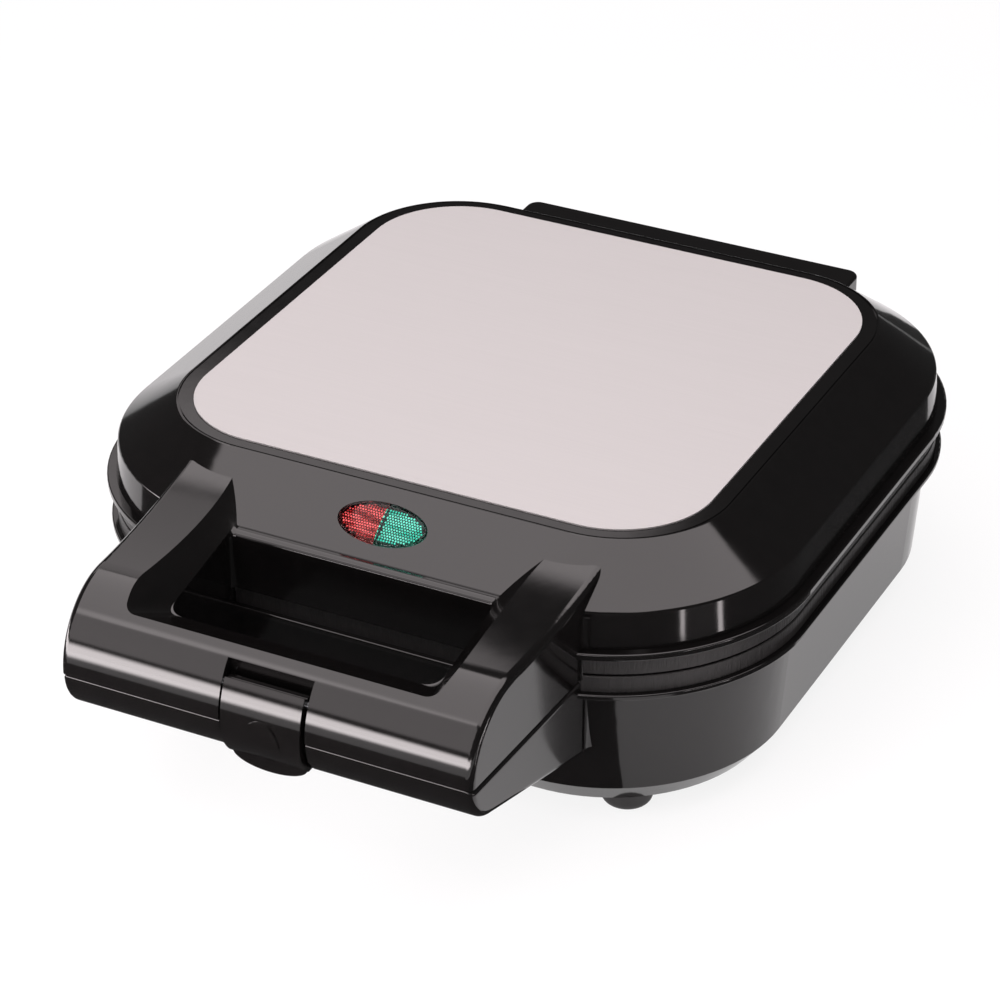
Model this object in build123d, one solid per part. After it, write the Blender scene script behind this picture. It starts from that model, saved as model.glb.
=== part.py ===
from build123d import *
import math
import os

# Waffle maker. Millimetres, +Z up, the handle towards -Y and the hinge towards +Y.
# Heights are measured from the surface that the feet stand on. Every piece is laid out about the
# middle of the square body and moved back at the end, so that the origin lies under the middle of
# the whole appliance.

# Heights of the body, stacked from the bottom
foot_height = 5.5
bevel_height = 7.2
wall_height = 34.1
lip_height = 1.8
lower_rim_height = 5.2
parting_gap = 0.6
upper_rim_height = 5.9
flange_height = 2.2
band_height = 11.2
slope_height = 12.9
plate_proud = 0.4

# Widths of the body
body_width = 221.6
body_corner = 62.0
flange_overhang = 2.8
band_draft = 1.0
rim_inset = 2.6
lip_inset = 0.8
wall_inset = 4.2
wall_draft = 2.6
bevel_width = 5.7
shell_wall = 2.6
edge_round = 1.0
bezel_round = 0.6
flange_round = 0.5
lip_round = 0.5
land_round = 0.4

# Steel plate on the lid
plate_width = 164.0
plate_depth = 166.0
plate_corner = 29.0
plate_sheet = 0.5
plate_play = 0.35
bezel_width = 5.7
bezel_groove = 0.45
bezel_groove_inset = 0.45
bezel_groove_depth = 0.5
tab_width = 10.0
tab_drop = 5.0
tab_play = 0.3

# Cooking plates
waffle_size = 83.0
waffle_ridge = 5.0
waffle_depth = 10.0
waffle_web = 3.0
waffle_corner = 7.0
waffle_taper = 12.0
peg_count = 4
peg_pitch = 19.4
peg_base = 13.0
casting_wall = 3.0
post_spread = 69.0
post_radius = 5.0
post_height = 7.0

# Heaters and heat shields
heater_radius = 3.2
heater_half = 52.0
heater_bend = 18.0
heater_gap = 24.0
touch_play = 0.05
shield_half = 80.0
shield_corner = 12.0
shield_sheet = 0.6
shield_fold = 3.0

# Screws
screw_radius = 1.9
screw_head_radius = 3.6
screw_head_height = 2.0
screw_slot_width = 1.0
screw_play = 0.3
thread_play = 0.05
thread_depth = 6.0
handle_screw_length = 13.0
handle_screw_inset = 7.8
screw_pad_margin = 0.8

# Handle
handle_length = 57.1
handle_half = 63.8
handle_flare = 2.8
handle_round = 2.2
handle_root_depth = 14.0
arm_root_length = 14.0
handle_wall = 2.4
handle_parting = 52.5
handle_split = 0.4
grip_top = 76.4
grip_thickness = 22.0
arm_curve = 240.0
lower_setback = 0.4
lower_radius = 13.4
lower_slope = 13.7
lower_lip_round = 0.6
upper_cove = 1.6
lower_cove = 3.5
opening_half = 42.2
opening_corner = 5.0
opening_rear_corner = 2.0
funnel_spread = 15.8
funnel_drop = 0.2
funnel_fall = 11.3
funnel_bevel = 24.0
funnel_corner = 5.0
panel_cover = 1.8
panel_round = 2.0
panel_rise = 0.5
joint_gap = 0.1

# Latch on the grip
latch_width = 24.6
latch_recess_width = 26.8
latch_recess_depth = 8.0
latch_recess_top = 69.1
latch_top = 65.4
latch_proud = 0.9
latch_skin = 3.2
latch_bottom = 41.0
latch_pivot_inset = 5.0
latch_pivot_z = 62.0
latch_pin_radius = 1.25
latch_pin_hold = 2.4
latch_barrel_radius = 2.6
running_play = 0.05
catch_recess_depth = 6.9
catch_depth = 2.6
catch_height = 3.0
catch_width = 20.0
catch_z = 47.2
hook_reach = 3.5
hook_play = 0.3
thumb_tab_width = 23.2
thumb_tab_height = 4.2
thumb_tab_thickness = 2.0
thumb_tab_setback = 4.2
badge_z = 49.5
badge_half = 5.8
badge_rise = 6.6
badge_height = 0.35

# Hinge
hinge_gap = 4.7
hinge_pin_radius = 2.0
hinge_ear_radius = 5.5
hinge_ear_width = 8.0
hinge_lug_radius = 5.0
hinge_lug_width = 10.0
hinge_lug_x = 47.0
hinge_side_play = 0.4
hinge_bar_half = 58.6
hinge_bar_depth = 12.1
hinge_bar_corner = 4.0
hinge_bar_z = 63.0
hinge_bar_rise = 0.4
ear_rear_z = 40.0
ear_foot_z = 26.0

# Indicator lamp window
lens_length = 27.7
lens_width = 13.2
lens_dome = 1.8
lens_depth = 5.0
lens_lip = 1.2
lens_lip_sheet = 1.2
lens_play = 0.2
lens_split = 0.2
lamp_radius = 2.5
lamp_length = 9.0
lamp_spread = 6.5
lamp_round = 0.8
lamp_gap = 0.4
holder_floor = 1.6
holder_wall = 1.4

# Feet
foot_x = 71.0
foot_y = 83.5
foot_radius = 7.6
foot_round = 2.6
spigot_radius = 2.6
spigot_reach = 4.0

# Electrical pieces
gland_z = 24.0
gland_bore_radius = 3.7
gland_body_radius = 6.0
gland_flange_radius = 8.5
gland_flange = 3.0
gland_tail = 4.0
gland_play = 0.1
gland_pad_rise = 0.5
thermostat_radius = 8.0
thermostat_height = 9.0
thermostat_flange_radius = 11.0
thermostat_flange = 1.2
thermostat_play = 1.5
fuse_radius = 2.1
fuse_length = 14.0
fuse_strap = 0.8
fuse_strap_width = 5.0
fuse_strap_foot = 5.0
block_length = 26.0
block_depth = 12.0
block_height = 11.0
block_hole_radius = 1.8
block_hole_pitch = 8.0
block_y = 66.0

# Levels worked out from the stack
bottom_z = foot_height
wall_z = bottom_z + bevel_height
lip_z = wall_z + wall_height
seat_z = lip_z + lip_height
lower_land_z = seat_z + lower_rim_height
upper_land_z = lower_land_z + parting_gap
flange_z = upper_land_z + upper_rim_height
crease_z = flange_z + flange_height
edge_z = crease_z + band_height
bezel_z = edge_z + slope_height
top_z = bezel_z + plate_proud
recess_z = top_z - plate_sheet
ceiling_z = recess_z - shell_wall
floor_z = bottom_z + shell_wall
hinge_z = lower_land_z + parting_gap / 2
upper_grip_z = handle_parting + handle_split / 2
lower_grip_z = handle_parting - handle_split / 2

# Half widths worked out from the outside in
flange_half = body_width / 2
corner_centre = flange_half - body_corner
crease_half = flange_half - flange_overhang
edge_half = crease_half - band_draft
rim_half = flange_half - rim_inset
lip_half = flange_half - lip_inset
wall_top_half = lip_half - wall_inset
wall_low_half = wall_top_half - wall_draft
bottom_half = wall_low_half - bevel_width
bezel_half = plate_width / 2 + bezel_width
bezel_corner = plate_corner + bezel_width
slope_angle = math.atan2(slope_height, edge_half - bezel_half)

# Cooking plates, from the land back
cook_half = waffle_size + waffle_ridge / 2
pan_half = cook_half + casting_wall
pan_depth = waffle_depth + casting_wall
post_depth = pan_depth + post_height
lower_back_z = lower_land_z - pan_depth
upper_back_z = upper_land_z + pan_depth
lower_shield_z = lower_land_z - post_depth
upper_shield_z = upper_land_z + post_depth

# Handle and latch
handle_reach = flange_half + handle_length
lower_reach = handle_reach - lower_setback
handle_root_y = -edge_half + handle_root_depth
grip_back_y = -handle_reach + grip_thickness
panel_y = -rim_half - panel_cover
panel_low_z = upper_land_z + panel_rise
latch_front = handle_reach + latch_proud + badge_height
latch_pivot_y = -handle_reach + latch_pivot_inset

# Handle screws, with each shell's half width where the inner end of the screw's pad meets its wall
screw_pad_radius = screw_head_radius + screw_pad_margin
handle_screw_x = opening_half + handle_screw_inset
upper_screw_z = edge_z - band_height / 2
upper_screw_half = edge_half + band_draft * (edge_z - upper_screw_z - screw_pad_radius) / band_height
lower_screw_z = (wall_z + lip_z) / 2 + shell_wall
lower_screw_half = wall_low_half + wall_draft * (lower_screw_z - screw_pad_radius - wall_z) / wall_height

# Hinge
hinge_y = flange_half + hinge_gap
hinge_bar_rear = edge_half + hinge_bar_depth
hinge_rear = hinge_y + hinge_ear_radius

# The body's middle, seen from the middle of the whole appliance
body_y = (latch_front - hinge_rear) / 2

four_posts = GridLocations(2 * post_spread, 2 * post_spread, 2, 2)


# Helpers

def outline(half, z, corner=None):
    """Rounded square at height z. Its corners share one centre unless a radius is given."""
    radius = half - corner_centre if corner is None else corner
    return Pos(0, 0, z) * RectangleRounded(2 * half, 2 * half, radius)


def stack(*sections):
    """Solid with straight sides between rounded squares."""
    return loft([outline(*section) for section in sections], ruled=True)


def upright(radius, low, high):
    """Cylinder along Z between two heights."""
    return Pos(0, 0, (low + high) / 2) * Cylinder(radius, high - low)


def along_y(radius, y_low, y_high, x, z):
    """Cylinder along Y between two places."""
    return Pos(x, (y_low + y_high) / 2, z) * Rot(90, 0, 0) * Cylinder(radius, y_high - y_low)


def along_x(radius, x_low, x_high, y, z):
    """Cylinder along X between two places."""
    return Pos((x_low + x_high) / 2, y, z) * Rot(0, 90, 0) * Cylinder(radius, x_high - x_low)


def block(x_range, y_range, z_range):
    """Box between two corners, given as ranges."""
    spans = (x_range, y_range, z_range)
    sizes = [high - low for low, high in spans]
    middles = [(high + low) / 2 for low, high in spans]
    return Pos(*middles) * Box(*sizes)


def across(profile, x_low, x_high):
    """Extrude a sketch drawn in (y, z) along X."""
    return extrude(Plane.YZ.offset(x_low) * profile, x_high - x_low)


def edges_at(shape, z):
    """Edges that lie at one height."""
    return shape.edges().filter_by_position(Axis.Z, z - touch_play, z + touch_play)


# Outer forms of the two shells

def lid_form(grow=0.0):
    """Outside of the lid above its flange, swollen sideways by grow."""
    return stack(
        (crease_half + grow, flange_z),
        (crease_half + grow, crease_z),
        (edge_half + grow, edge_z),
        (bezel_half + grow, bezel_z, bezel_corner + grow),
    )


def lid_flange(grow=0.0):
    """Flat flange round the bottom of the lid, left out between the arms of the handle."""
    flange = rim_form(flange_half + grow, flange_z, crease_z + grow)
    gap = opening_half - grow
    return flange - block((-gap, gap), (-flange_half - shell_wall, -crease_half - grow), (0, top_z))


def base_form(grow=0.0):
    """Outside of the base below its lip, swollen sideways by grow."""
    return stack(
        (bottom_half + grow, bottom_z),
        (wall_low_half + grow, wall_z),
        (wall_top_half + grow, lip_z),
    )


def rim_form(half, low, high):
    """Upright band between two heights."""
    return stack((half, low), (half, high))


def rounded_rim(rim, radius):
    """Upright band with its upper and lower edges rounded."""
    levels = rim.faces().filter_by(Axis.Z)
    return fillet(levels.edges(), radius)


# Screws that stand upright, with their heads sunk at face_z and their points towards end_z

def screw_way(face_z, end_z):
    """Clearance hole for a screw and its head."""
    toward = math.copysign(1, end_z - face_z)
    head_depth = screw_head_height + screw_play
    shank = Cylinder(screw_radius + screw_play, abs(end_z - face_z))
    head = Cylinder(screw_head_radius + screw_play, head_depth)
    return Pos(0, 0, (face_z + end_z) / 2) * shank + Pos(0, 0, face_z + toward * head_depth / 2) * head


def screw(face_z, end_z):
    """Pan-head screw with a cross slot."""
    toward = math.copysign(1, end_z - face_z)
    head_z = face_z + toward * screw_play
    seat = head_z + toward * screw_head_height
    shank = Pos(0, 0, (seat + end_z) / 2) * Cylinder(screw_radius, abs(end_z - seat))
    head = Pos(0, 0, (head_z + seat) / 2) * Cylinder(screw_head_radius, screw_head_height)
    slot_length = 2 * screw_radius
    slot = Box(slot_length, screw_slot_width, screw_head_height)
    slot += Box(screw_slot_width, slot_length, screw_head_height)
    return shank + head - Pos(0, 0, head_z) * slot


# Lid

def lid_hollow():
    """Space inside the lid, open below."""
    drop = shell_wall / math.cos(slope_angle)
    inner_edge = edge_half - shell_wall
    inner_edge_z = bezel_z - drop - (inner_edge - bezel_half) * math.tan(slope_angle)
    inner_top = bezel_half + (bezel_z - drop - ceiling_z) / math.tan(slope_angle)
    return stack(
        (crease_half - shell_wall, flange_z),
        (crease_half - shell_wall, crease_z),
        (inner_edge, inner_edge_z),
        (inner_top, ceiling_z, bezel_corner + inner_top - bezel_half),
    )


def lens_plane():
    """Plane on the middle of the lid's front slope, facing outwards."""
    middle_y = -(bezel_half + edge_half) / 2
    middle_z = (bezel_z + edge_z) / 2
    normal = (0, -math.sin(slope_angle), math.cos(slope_angle))
    return Plane(origin=(0, middle_y, middle_z), x_dir=(1, 0, 0), z_dir=normal)


def hinge_bar():
    """Bar behind the lid."""
    y_range = (edge_half - shell_wall, hinge_bar_rear)
    bar = block((-hinge_bar_half, hinge_bar_half), y_range, (hinge_bar_z, edge_z + hinge_bar_rise))
    bar = fillet(bar.edges().filter_by(Axis.Z).group_by(Axis.Y)[-1], hinge_bar_corner)
    return fillet(bar.edges().filter_by(Axis.X).group_by(Axis.Z)[-1].sort_by(Axis.Y)[-1], edge_round)


def hinge_lugs():
    """Two lugs that reach from the bar down to the hinge pins."""
    front = hinge_y - hinge_lug_radius
    profile = Pos(hinge_y, hinge_z) * Circle(hinge_lug_radius)
    profile += Polygon((front, hinge_z), (hinge_y + hinge_lug_radius, hinge_z), (hinge_bar_rear, hinge_bar_z),
                       (front, hinge_bar_z), align=None)
    profile -= Pos(hinge_y, hinge_z) * Circle(hinge_pin_radius + running_play)
    half = hinge_lug_width / 2
    return [across(profile, side * hinge_lug_x - half, side * hinge_lug_x + half) for side in (-1, 1)]


def top_tabs(play):
    """Four tabs under the steel plate, as large as their slots when play is added."""
    drop = tab_drop + play
    sheet = plate_sheet + 2 * play
    width = tab_width + 2 * play
    reach_x = (plate_width - plate_corner) / 2
    reach_y = (plate_depth - plate_corner) / 2
    middle_z = recess_z - drop / 2
    tabs = []
    for side in (-1, 1):
        tabs.append(Pos(side * reach_x, 0, middle_z) * Box(sheet, width, drop))
        tabs.append(Pos(0, side * reach_y, middle_z) * Box(width, sheet, drop))
    return tabs


def bezel_ring_groove():
    """Fine groove that parts the flat bezel from the slope."""
    outer = bezel_half - bezel_groove_inset
    inner = outer - bezel_groove
    ring = RectangleRounded(2 * outer, 2 * outer, bezel_corner - bezel_groove_inset)
    ring -= RectangleRounded(2 * inner, 2 * inner, bezel_corner - bezel_groove_inset - bezel_groove)
    return Pos(0, 0, bezel_z - bezel_groove_depth) * extrude(ring, 2 * bezel_groove_depth)


def make_upper_shell():
    form = lid_form()
    form = fillet(edges_at(form, edge_z), edge_round)
    form = fillet(edges_at(form, bezel_z), bezel_round)
    flange = rounded_rim(lid_flange(), flange_round)
    shell = form + flange + hinge_bar() + hinge_lugs() - lid_hollow()
    recess = RectangleRounded(plate_width + 2 * plate_play, plate_depth + 2 * plate_play,
                              plate_corner + plate_play)
    shell -= Pos(0, 0, recess_z) * extrude(recess, top_z - recess_z)
    shell -= bezel_ring_groove()
    boss_z = upper_shield_z + shield_sheet
    for spot in four_posts:
        shell += spot * upright(post_radius, boss_z, ceiling_z)
        shell -= spot * screw_way(recess_z, boss_z)
    shell -= top_tabs(tab_play)
    shell -= lens_plane() * extrude(lens_oval(lens_play), 2 * shell_wall, both=True)
    shell += handle_screw_pads(upper_screw_z, upper_screw_half)
    shell -= handle_screw_holes(screw_radius + screw_play, upper_screw_z, upper_screw_half)
    return shell


def make_top_plate():
    sheet = extrude(RectangleRounded(plate_width, plate_depth, plate_corner), plate_sheet)
    return Pos(0, 0, recess_z) * sheet + top_tabs(0.0)


# Indicator window, drawn flat with the slope's surface at z = 0

def lens_oval(grow):
    return Ellipse(lens_length / 2 + grow, lens_width / 2 + grow)


def make_lens_half(side):
    """Domed half of the window, with a lip that stops behind the shell's wall."""
    dome = scale(Sphere(1), (lens_length / 2, lens_width / 2, lens_dome))
    body = extrude(lens_oval(0), -lens_depth) + dome
    lip_face = -shell_wall - lens_play
    body += Pos(0, 0, lip_face) * extrude(lens_oval(lens_lip), -lens_lip_sheet)
    keep = Pos(side * (lens_length + lens_split) / 2, 0, 0) * Box(lens_length, 2 * lens_width, 4 * lens_depth)
    return lens_plane() * (body & keep)


def make_lamps():
    """Two neon lamps lying behind the two halves of the window."""
    depth = lens_depth + lamp_gap + lamp_radius
    lamp = Rot(90, 0, 0) * fillet(Cylinder(lamp_radius, lamp_length).edges(), lamp_round)
    return [lens_plane() * Pos(side * lamp_spread, 0, -depth) * lamp for side in (-1, 1)]


def make_lamp_holder():
    """Tray that holds the lamps, its walls standing on the lips of the window."""
    lip_back = shell_wall + lens_play + lens_lip_sheet
    floor_top = lens_depth + lamp_gap + 2 * lamp_radius + touch_play
    floor_low = floor_top + holder_floor
    half_x = lens_length / 2 + holder_wall
    half_y = lens_width / 2
    tray = block((-half_x, half_x), (-half_y, half_y), (-floor_low, -lip_back))
    inner_x = half_x - holder_wall
    tray -= block((-inner_x, inner_x), (-2 * half_y, 2 * half_y), (-floor_top, 0))
    tray -= extrude(lens_oval(lens_play), -floor_top)
    divider_top = lens_depth + lamp_gap
    tray += block((-holder_wall / 2, holder_wall / 2), (-half_y, half_y), (-floor_low, -divider_top))
    return lens_plane() * tray


# Cooking plates, drawn face up with the land at z = 0

def waffle_pocket():
    """One waffle's hollow, with its pegs left standing."""
    mouth = RectangleRounded(waffle_size, waffle_size, waffle_corner)
    hollow = extrude(mouth, -waffle_depth, taper=waffle_taper)
    peg_height = waffle_depth - waffle_web
    peg = Pos(0, 0, -waffle_depth) * extrude(Rectangle(peg_base, peg_base), peg_height, taper=waffle_taper)
    return hollow - [spot * peg for spot in GridLocations(peg_pitch, peg_pitch, peg_count, peg_count)]


def cooking_plate(rim_height):
    """Casting with a land, four waffle hollows and four screw posts behind."""
    land = extrude(outline(rim_half, 0), -rim_height)
    land = fillet(edges_at(land, 0), land_round)
    back =extrude(outline(rim_half - casting_wall, -rim_height), rim_height - casting_wall)
    pan = extrude(RectangleRounded(2 * pan_half, 2 * pan_half, waffle_corner + casting_wall), -pan_depth)
    plate = land - back + pan
    plate -= extrude(RectangleRounded(2 * cook_half, 2 * cook_half, waffle_corner), -waffle_web)
    spread = waffle_size + waffle_ridge
    pocket = waffle_pocket()
    plate -= [spot * pocket for spot in GridLocations(spread, spread, 2, 2)]
    plate += [spot * upright(post_radius, -post_depth, -pan_depth) for spot in four_posts]
    pilot = upright(screw_radius + thread_play, -post_depth, -post_depth + thread_depth)
    return plate - [spot * pilot for spot in four_posts]


def heat_shield(hole_radius=0.0):
    """Folded sheet behind a heater, drawn with its clamped face at z = 0 and its fold below."""
    inner = shield_half - shield_sheet
    inside = RectangleRounded(2 * inner, 2 * inner, shield_corner - shield_sheet)
    sheet = extrude(RectangleRounded(2 * shield_half, 2 * shield_half, shield_corner), -shield_fold)
    sheet -= Pos(0, 0, -shield_sheet) * extrude(inside, -shield_fold)
    sheet -= [spot * Cylinder(screw_radius + screw_play, 2 * shield_fold) for spot in four_posts]
    if hole_radius > 0:
        sheet -= Cylinder(hole_radius, 2 * shield_fold)
    return sheet


def heater():
    """Tubular heater bent to an open square, drawn with its axis at z = 0."""
    half = heater_half
    end = heater_gap / 2
    corners = ((-end, half), (-half, half), (-half, -half), (half, -half), (half, half), (end, half))
    path = FilletPolyline(*corners, radius=heater_bend)
    start = Plane(origin=path @ 0, z_dir=path % 0)
    return sweep(start * Circle(heater_radius), path=path)


def face_down(shape, z):
    """Turn over a piece that was drawn face up, and set its face at height z."""
    return Pos(0, 0, z) * Rot(180, 0, 0) * shape


# Handle

def grip_roll():
    """Centre and radius of the quarter round that the upper grip rolls over."""
    radius = grip_top - upper_grip_z
    return -handle_reach + radius, radius


def upper_profile():
    """Side view of the upper grip: an arm that sinks gently, then rolls over to the front."""
    centre_y, radius = grip_roll()
    run = handle_root_y - centre_y
    turn = math.degrees(math.asin(run / arm_curve))
    roll = CenterArc((centre_y, upper_grip_z), radius, 90, 90)
    arm = CenterArc((centre_y, grip_top + arm_curve), arm_curve, 270, turn)
    rest = Polyline(roll @ 1, (handle_root_y, upper_grip_z), arm @ 1)
    return make_face([roll, arm, rest])


def lower_underside(y):
    """Height of the straight underside of the lower grip."""
    slope = math.radians(lower_slope)
    start_y = -lower_reach + lower_radius * (1 - math.sin(slope))
    start_z = lower_grip_z - lower_lip_round - lower_radius * math.cos(slope)
    return start_z - (y - start_y) * math.tan(slope)


def lower_profile():
    """Side view of the lower grip: a rounded front and an underside that sinks towards the body."""
    low = lower_grip_z - lower_lip_round
    front = CenterArc((-lower_reach + lower_radius, low), lower_radius, 180, 90 - lower_slope)
    lip = CenterArc((-lower_reach + lower_lip_round, low), lower_lip_round, 90, 90)
    root = (handle_root_y, lower_underside(handle_root_y))
    rest = Polyline(front @ 1, root, (handle_root_y, lower_grip_z), lip @ 0)
    return make_face([front, lip, rest])


def handle_form(profile):
    """Grip half before it is hollowed, a little wider at the body, with its long outer edges rounded."""
    root_half = handle_half + handle_flare
    corners = ((-root_half, handle_root_y), (-handle_half, -handle_reach), (handle_half, -handle_reach),
               (root_half, handle_root_y))
    form = across(profile, -root_half, root_half) & extrude(Polygon(*corners, align=None), top_z)
    outer = [edge for edge in form.edges() if abs(edge.center().X) > handle_half - handle_round]
    long_edges = [edge for edge in outer if edge.geom_type == GeomType.ELLIPSE or is_underside(edge)]
    return fillet(long_edges, handle_round)


def is_underside(edge):
    """True for a straight edge that slopes, as the underside of the lower grip does."""
    start, end = edge @ 0, edge @ 1
    return abs(start.Z - end.Z) > handle_round and abs(start.Y - end.Y) > handle_round


def finger_opening(back_y):
    """Space between the arms, from the back of the grip to a place near the body."""
    gap = block((-opening_half, opening_half), (grip_back_y, back_y), (0, top_z))
    return fillet(gap.edges().filter_by(Axis.Z).group_by(Axis.Y)[0], opening_corner)


def funnel_floor(y):
    """Height of the funnel's lower edge, which sinks from the lid towards the grip."""
    sink = math.tan(math.radians(funnel_fall))
    return edge_z - funnel_drop + (y - panel_y) * sink


def opening_funnel():
    """Space above the opening, whose sides and front slope up and outwards to the top of the handle."""
    faces = []
    wide = opening_half + funnel_spread
    for y in (handle_root_y, -handle_reach):
        low = funnel_floor(y)
        corners = ((-opening_half, y, low), (opening_half, y, low), (wide, y, top_z), (-wide, y, top_z))
        faces.append(make_face(Polyline(*corners, close=True)))
    low = funnel_floor(grip_back_y)
    front = grip_back_y - (top_z - low) / math.tan(math.radians(funnel_bevel))
    corners = ((grip_back_y, low), (handle_root_y, low), (handle_root_y, top_z), (front, top_z))
    side = Polygon(*corners, align=None)
    funnel = loft(faces, ruled=True) & across(side, -wide, wide)
    creases = [edge for edge in funnel.edges() if is_front_crease(edge)]
    return fillet(creases, funnel_corner)


def is_front_crease(edge):
    """True for the two edges between the funnel's sides and its front."""
    start, end = edge @ 0, edge @ 1
    spans = (abs(start.X - end.X), abs(start.Y - end.Y), abs(start.Z - end.Z))
    return min(spans) > opening_corner and max(start.Y, end.Y) < grip_back_y + touch_play


def root_panel():
    """Panel of the upper handle that closes the space between the arms against the lid."""
    panel = block((-opening_half, opening_half), (panel_y, -bezel_half), (panel_low_z, edge_z - funnel_drop))
    return fillet(panel.edges().filter_by(Axis.X).group_by(Axis.Y)[0].sort_by(Axis.Z)[-1], panel_round)


def arm_coves(radius, half, low, high):
    """Hollow rounds where the outer faces of the arms meet a shell's front wall."""
    x = handle_half + handle_flare
    wall_radius = half - corner_centre
    wall_y = -corner_centre - math.sqrt(wall_radius ** 2 - (x - corner_centre) ** 2)
    coves = []
    for side in (-1, 1):
        x_range = sorted((side * (x - handle_flare), side * (x + radius)))
        cove = block(x_range, (wall_y - radius, wall_y + shell_wall), (low, high))
        coves.append(cove - Pos(side * (x + radius), wall_y - radius, 0) * upright(radius, low, high))
    return coves


def arm_pockets(low, high):
    """Hollows in the two arms, each crossed by one rib."""
    inner = opening_half + handle_wall
    outer = handle_half - handle_wall
    back = -rim_half - arm_root_length
    front = grip_back_y + handle_wall
    middle = (front + back) / 2
    pockets = []
    for side in (-1, 1):
        x_range = sorted((side * inner, side * outer))
        pockets.append(block(x_range, (front, middle - handle_wall / 2), (low, high)))
        pockets.append(block(x_range, (middle + handle_wall / 2, back), (low, high)))
    return pockets


def grip_pockets(reach, low, high):
    """Hollows in the grip, one on each side of the latch."""
    inner = latch_recess_width / 2 + latch_pin_hold + handle_wall
    outer = handle_half - handle_wall
    y_range = (-reach + handle_wall, grip_back_y - handle_wall)
    return [block(sorted((side * inner, side * outer)), y_range, (low, high)) for side in (-1, 1)]


def handle_screw_seat(half):
    """Place of a handle screw's head, on a flat pad inside a shell's curving front wall."""
    radius = half - shell_wall - corner_centre
    run = handle_screw_x + screw_pad_radius - corner_centre
    return -corner_centre - math.sqrt(radius ** 2 - run ** 2)


def handle_screw_pads(z, half):
    """Flat pads for the heads of those screws, sunk into the shell's wall."""
    seat = handle_screw_seat(half)
    return [along_y(screw_pad_radius, seat - shell_wall, seat, side * handle_screw_x, z) for side in (-1, 1)]


def handle_screws(z, half):
    """Two screws through a shell's front wall into the roots of the arms."""
    seat = handle_screw_seat(half)
    return [along_y(screw_radius, seat - handle_screw_length, seat, side * handle_screw_x, z)
            + along_y(screw_head_radius, seat, seat + screw_head_height, side * handle_screw_x, z)
            for side in (-1, 1)]


def handle_screw_holes(radius, z, half):
    """Holes for those two screws."""
    seat = handle_screw_seat(half)
    reach = handle_screw_length + screw_play
    return [along_y(radius, seat - reach, seat + shell_wall, side * handle_screw_x, z) for side in (-1, 1)]


def latch_recess(depth, low, high):
    """Slot in the front of the grip that the latch lies in."""
    half = latch_recess_width / 2
    return block((-half, half), (-latch_front, -handle_reach + depth), (low, high))


def make_upper_handle():
    centre_y, radius = grip_roll()
    handle = handle_form(upper_profile()) - finger_opening(handle_root_y) - opening_funnel()
    handle += root_panel()
    uprights = handle.edges().filter_by(Axis.Z)
    corners = uprights.filter_by_position(Axis.Y, panel_y - touch_play, panel_y + touch_play)
    handle = fillet(corners, opening_rear_corner)
    handle += arm_coves(upper_cove, crease_half, upper_grip_z, edge_z - edge_round)
    handle -= [lid_form(joint_gap), lid_flange(joint_gap)]
    handle -= rim_form(rim_half + parting_gap, seat_z, flange_z)
    handle -= arm_pockets(upper_grip_z, funnel_floor(grip_back_y))
    pocket_run = -handle_reach + handle_wall - centre_y
    grip_pocket_top = upper_grip_z + math.sqrt(radius ** 2 - pocket_run ** 2) - handle_wall
    handle -= grip_pockets(handle_reach, upper_grip_z, grip_pocket_top)
    handle -= latch_recess(latch_recess_depth, upper_grip_z, latch_recess_top)
    hold = latch_recess_width / 2 + latch_pin_hold
    handle -= along_x(latch_pin_radius + thread_play, -hold, hold, latch_pivot_y, latch_pivot_z)
    return handle - handle_screw_holes(screw_radius + thread_play, upper_screw_z, upper_screw_half)


def make_lower_handle():
    handle = handle_form(lower_profile()) - finger_opening(handle_root_y)
    cove_low = lower_underside(-wall_low_half) + handle_round
    handle += arm_coves(lower_cove, wall_low_half, cove_low, lower_grip_z)
    handle -= base_form(joint_gap)
    handle -= rim_form(lip_half + joint_gap, lip_z - joint_gap, seat_z)
    handle -= rim_form(rim_half + joint_gap, seat_z, upper_land_z)
    handle -= arm_pockets(lower_grip_z - lower_radius + handle_wall, lower_grip_z)
    rise = math.sqrt(lower_radius ** 2 - (lower_radius - handle_wall) ** 2)
    handle -= grip_pockets(lower_reach, lower_grip_z - rise + handle_wall, lower_grip_z)
    handle -= latch_recess(catch_recess_depth, 0, lower_grip_z)
    wall_front = -handle_reach + catch_recess_depth
    handle += block((-catch_width / 2, catch_width / 2), (wall_front - catch_depth, wall_front),
                    (catch_z, catch_z + catch_height))
    return handle - handle_screw_holes(screw_radius + thread_play, lower_screw_z, lower_screw_half)


# Latch

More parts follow.
